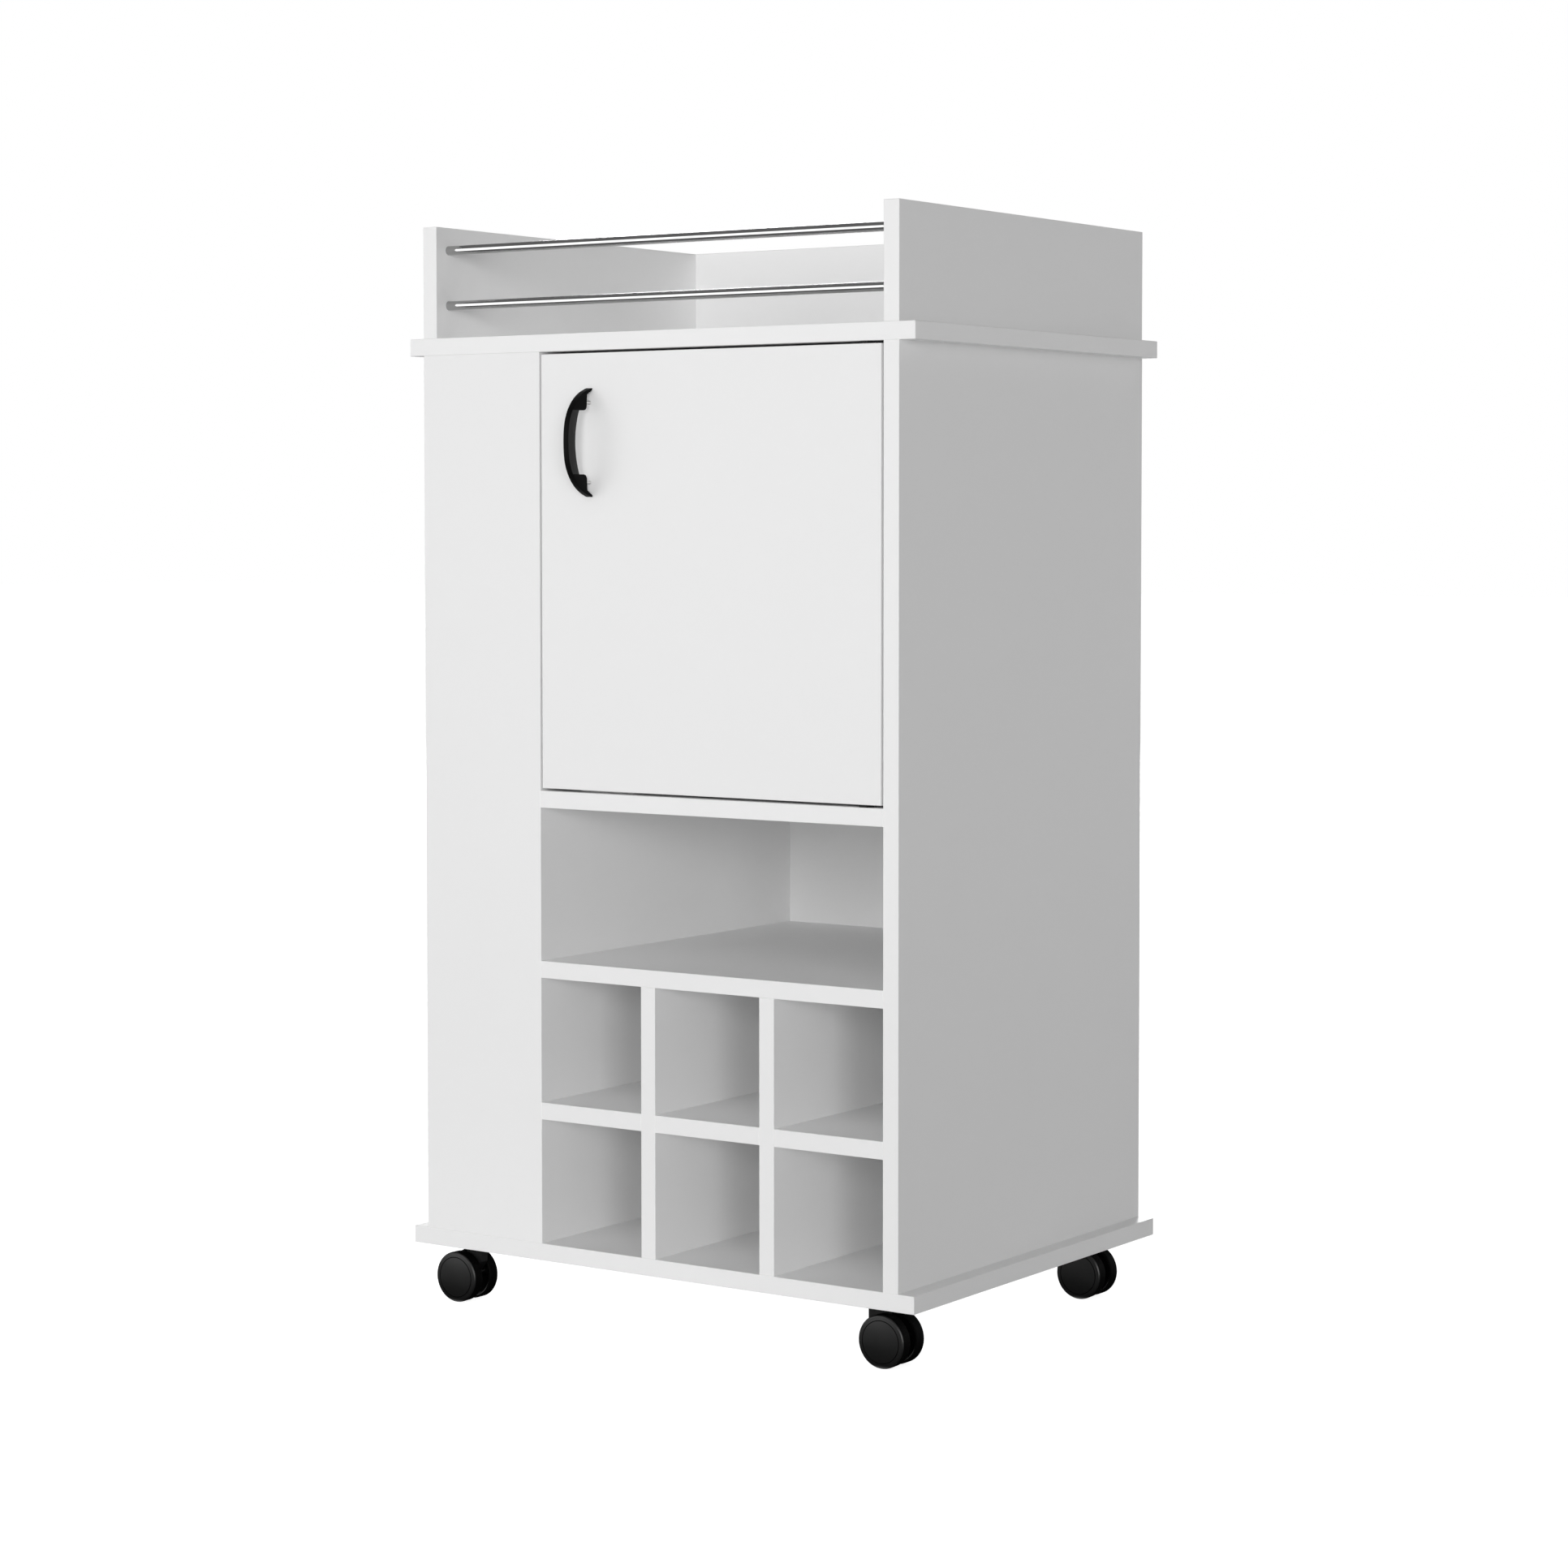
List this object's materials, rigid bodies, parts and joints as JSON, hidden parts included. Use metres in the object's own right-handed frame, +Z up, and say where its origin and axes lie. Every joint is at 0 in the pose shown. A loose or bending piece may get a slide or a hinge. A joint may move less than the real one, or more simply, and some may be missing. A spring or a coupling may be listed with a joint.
{
  "type": "bar cart",
  "caption": "White board bar cart on swivel casters with a railed tray, a hinged cupboard, an open shelf, bottle cubbies and an open side bay.",
  "frame": {"origin": "on the floor under the middle of the overall box, handle included", "axes": "+X to the right as seen from the front, +Y to the rear, +Z up"},
  "size_m": [0.531, 0.435, 0.9557],
  "materials": {
    "white_board": "white satin melamine",
    "white_hardboard": "white lacquered hardboard",
    "rod_chrome": "bright chrome",
    "handle_black": "black satin",
    "caster_black": "black satin",
    "zinc_steel": "zinc plated",
    "beech": "plain",
    "white_nylon": "moulded",
    "black_nylon": "moulded",
    "magnet": "ferrite"
  },
  "bodies": {
    "cabinet": {"base_board": "white_board", "top_board": "white_board", "right_side_panel": "white_board", "bay_wall": "white_board", "bay_front_panel": "white_board", "bay_rear_panel": "white_board", "bay_shelf": "white_board", "cupboard_floor": "white_board", "open_shelf_floor": "white_board", "cubby_divider_left": "white_board", "cubby_divider_right": "white_board", "cubby_shelf_left": "white_board", "cubby_shelf_middle": "white_board", "cubby_shelf_right": "white_board", "gallery_left_rail": "white_board", "gallery_right_rail": "white_board", "gallery_back_rail": "white_board", "back_panel": "white_hardboard", "gallery_rod_lower": "rod_chrome", "gallery_rod_upper": "rod_chrome", "euro_screws": "zinc_steel", "cam_bolts": "zinc_steel", "catch_screws": "zinc_steel", "catch_poles": "zinc_steel", "caster_plates": "zinc_steel", "caster_screws": "zinc_steel", "cam_locks": "zinc_steel", "dowels": "beech", "pivot_bushes": "black_nylon", "catch_housing": "white_nylon", "catch_magnet": "magnet"},
    "door": {"door": "white_board", "handle": "handle_black", "handle_screws": "zinc_steel", "pivot_pins": "zinc_steel", "strike_plate": "zinc_steel", "strike_screw": "zinc_steel"},
    "front_left_caster": {"front_left_fork": "caster_black", "front_left_axle": "zinc_steel"},
    "front_left_wheel_fore": {"front_left_wheel_fore": "caster_black"},
    "front_left_wheel_aft": {"front_left_wheel_aft": "caster_black"},
    "front_right_caster": {"front_right_fork": "caster_black", "front_right_axle": "zinc_steel"},
    "front_right_wheel_fore": {"front_right_wheel_fore": "caster_black"},
    "front_right_wheel_aft": {"front_right_wheel_aft": "caster_black"},
    "rear_left_caster": {"rear_left_fork": "caster_black", "rear_left_axle": "zinc_steel"},
    "rear_left_wheel_fore": {"rear_left_wheel_fore": "caster_black"},
    "rear_left_wheel_aft": {"rear_left_wheel_aft": "caster_black"},
    "rear_right_caster": {"rear_right_fork": "caster_black", "rear_right_axle": "zinc_steel"},
    "rear_right_wheel_fore": {"rear_right_wheel_fore": "caster_black"},
    "rear_right_wheel_aft": {"rear_right_wheel_aft": "caster_black"}
  },
  "joints": [
    {"name": "door_hinge", "type": "hinge", "parent": "cabinet", "child": "door", "pos_m": [0.2148, -0.177, 0.65], "axis": [0, 0, 1], "range_deg": [0, 130]},
    {"name": "front_left_swivel", "type": "hinge", "parent": "cabinet", "child": "front_left_caster", "pos_m": [-0.214, -0.1581, 0.04], "axis": [0, 0, 1], "continuous": true},
    {"name": "front_left_wheel_fore_spin", "type": "hinge", "parent": "front_left_caster", "child": "front_left_wheel_fore", "pos_m": [-0.2266, -0.1581, 0.0225], "axis": [0, 1, 0], "continuous": true},
    {"name": "front_left_wheel_aft_spin", "type": "hinge", "parent": "front_left_caster", "child": "front_left_wheel_aft", "pos_m": [-0.2266, -0.1581, 0.0225], "axis": [0, 1, 0], "continuous": true},
    {"name": "front_right_swivel", "type": "hinge", "parent": "cabinet", "child": "front_right_caster", "pos_m": [0.214, -0.1581, 0.04], "axis": [0, 0, 1], "continuous": true},
    {"name": "front_right_wheel_fore_spin", "type": "hinge", "parent": "front_right_caster", "child": "front_right_wheel_fore", "pos_m": [0.2266, -0.1581, 0.0225], "axis": [0, 1, 0], "continuous": true},
    {"name": "front_right_wheel_aft_spin", "type": "hinge", "parent": "front_right_caster", "child": "front_right_wheel_aft", "pos_m": [0.2266, -0.1581, 0.0225], "axis": [0, 1, 0], "continuous": true},
    {"name": "rear_left_swivel", "type": "hinge", "parent": "cabinet", "child": "rear_left_caster", "pos_m": [-0.214, 0.1653, 0.04], "axis": [0, 0, 1], "continuous": true},
    {"name": "rear_left_wheel_fore_spin", "type": "hinge", "parent": "rear_left_caster", "child": "rear_left_wheel_fore", "pos_m": [-0.2266, 0.1653, 0.0225], "axis": [0, 1, 0], "continuous": true},
    {"name": "rear_left_wheel_aft_spin", "type": "hinge", "parent": "rear_left_caster", "child": "rear_left_wheel_aft", "pos_m": [-0.2266, 0.1653, 0.0225], "axis": [0, 1, 0], "continuous": true},
    {"name": "rear_right_swivel", "type": "hinge", "parent": "cabinet", "child": "rear_right_caster", "pos_m": [0.214, 0.1653, 0.04], "axis": [0, 0, 1], "continuous": true},
    {"name": "rear_right_wheel_fore_spin", "type": "hinge", "parent": "rear_right_caster", "child": "rear_right_wheel_fore", "pos_m": [0.2266, 0.1653, 0.0225], "axis": [0, 1, 0], "continuous": true},
    {"name": "rear_right_wheel_aft_spin", "type": "hinge", "parent": "rear_right_caster", "child": "rear_right_wheel_aft", "pos_m": [0.2266, 0.1653, 0.0225], "axis": [0, 1, 0], "continuous": true}
  ]
}
